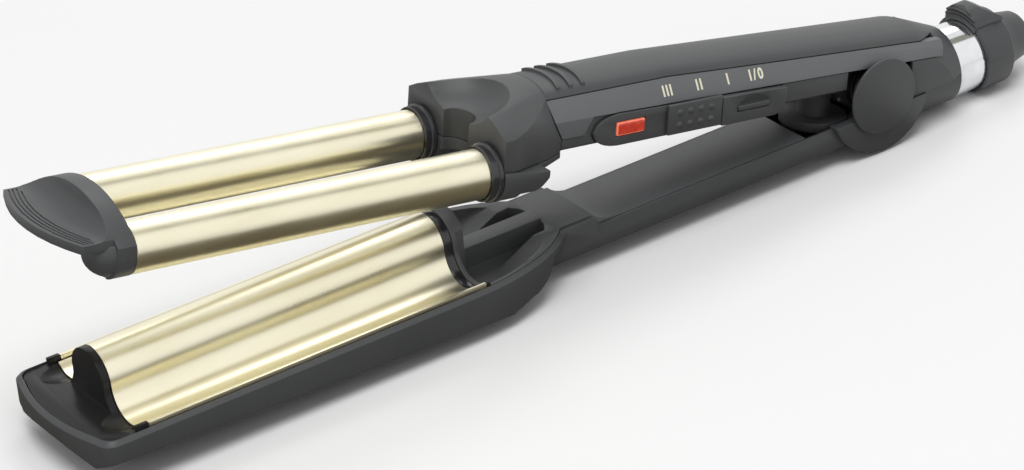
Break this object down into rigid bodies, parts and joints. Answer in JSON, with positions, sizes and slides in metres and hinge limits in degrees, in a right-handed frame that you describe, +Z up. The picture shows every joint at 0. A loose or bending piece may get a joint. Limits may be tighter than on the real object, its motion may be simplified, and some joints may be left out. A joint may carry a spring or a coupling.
{
  "type": "hair waver",
  "caption": "Clamp-type hair waver: two gold barrels on a spring-loaded upper arm close onto a wave-shaped heated plate; dark handle with slide and button.",
  "frame": {"origin": "middle of the bounding box in plan, at the level that the object rests on", "axes": "+X from the wave plate towards the cord end, +Z up, controls on the -Y side; the arms are open as in the picture"},
  "size_m": [0.3612, 0.0546, 0.0829],
  "materials": {
    "gold_coating": "satin champagne gold coating on aluminium",
    "dark_grey_plastic": "fine matte, slightly cool dark grey",
    "panel_plastic": "soft-sheen dark grey",
    "gloss_black": "glossy near black",
    "chrome": "mirror chrome",
    "steel": "plain steel",
    "aluminium": "bare extruded aluminium",
    "ceramic": "unglazed ceramic",
    "rubber": "matte black rubber",
    "circuit_board": "green solder mask",
    "red_lens": "translucent red"
  },
  "bodies": {
    "lower_arm": {"lower_casing": "dark_grey_plastic", "neck_cover": "dark_grey_plastic", "neck_screw_front": "steel", "neck_screw_rear": "steel", "nose_cap": "gloss_black", "wave_plate": "gold_coating", "plate_seal": "gloss_black", "side_rail_near": "gold_coating", "side_rail_far": "gold_coating", "rail_plug_near": "gloss_black", "rail_plug_far": "gloss_black", "heat_spreader": "aluminium", "plate_heater": "ceramic", "heater_clip": "steel", "heater_carrier": "ceramic", "hinge_axle": "steel", "hinge_disc_near": "dark_grey_plastic", "hinge_disc_far": "dark_grey_plastic", "torsion_spring": "steel", "rear_stub": "gloss_black", "chrome_sleeve": "chrome", "end_cap": "dark_grey_plastic", "swivel_housing": "gloss_black"},
    "upper_arm": {"upper_shell": "dark_grey_plastic", "side_panel_near": "panel_plastic", "side_panel_far": "panel_plastic", "handle_bottom_shell": "dark_grey_plastic", "rubber_bumper": "rubber", "head_housing": "dark_grey_plastic", "head_lower_cover": "dark_grey_plastic", "barrel_near": "gold_coating", "barrel_collar_near": "gloss_black", "heater_core_near": "aluminium", "barrel_heater_near": "ceramic", "barrel_far": "gold_coating", "barrel_collar_far": "gloss_black", "heater_core_far": "aluminium", "barrel_heater_far": "ceramic", "tip_cap": "dark_grey_plastic", "tip_screw_near": "steel", "tip_screw_far": "steel", "switch_bezel": "dark_grey_plastic", "led_lens": "red_lens", "circuit_board": "circuit_board", "slide_switch": "gloss_black", "push_switch": "gloss_black", "led_lamp": "red_lens"},
    "slider": {"temperature_slider": "dark_grey_plastic"},
    "button": {"power_button": "dark_grey_plastic"},
    "collar": {"lock_collar": "dark_grey_plastic"},
    "inlet": {"cord_inlet": "rubber"}
  },
  "joints": [
    {"name": "jaw_hinge", "type": "hinge", "parent": "lower_arm", "child": "upper_arm", "pos_m": [0.11047, 0, 0.01995], "axis": [0, 1, 0], "range_deg": [-9.6, 0], "stiffness_Nm_per_rad": 0.8, "springref_deg": 34.38, "deforming": ["torsion_spring"]},
    {"name": "temperature_slide", "type": "slide", "parent": "upper_arm", "child": "slider", "axis": [0.986, 0, -0.1668], "range_m": [-0.005, 0]},
    {"name": "power_press", "type": "slide", "parent": "upper_arm", "child": "button", "axis": [0, 1, 0], "range_m": [0, 0.001], "stiffness_N_per_m": 500, "springref_m": -0.001},
    {"name": "lock_collar_slide", "type": "slide", "parent": "lower_arm", "child": "collar", "axis": [1, 0, 0], "range_m": [-0.009, 0]},
    {"name": "cord_swivel", "type": "hinge", "parent": "lower_arm", "child": "inlet", "pos_m": [0.17047, 0, 0.0128], "axis": [1, 0, 0], "continuous": true}
  ]
}
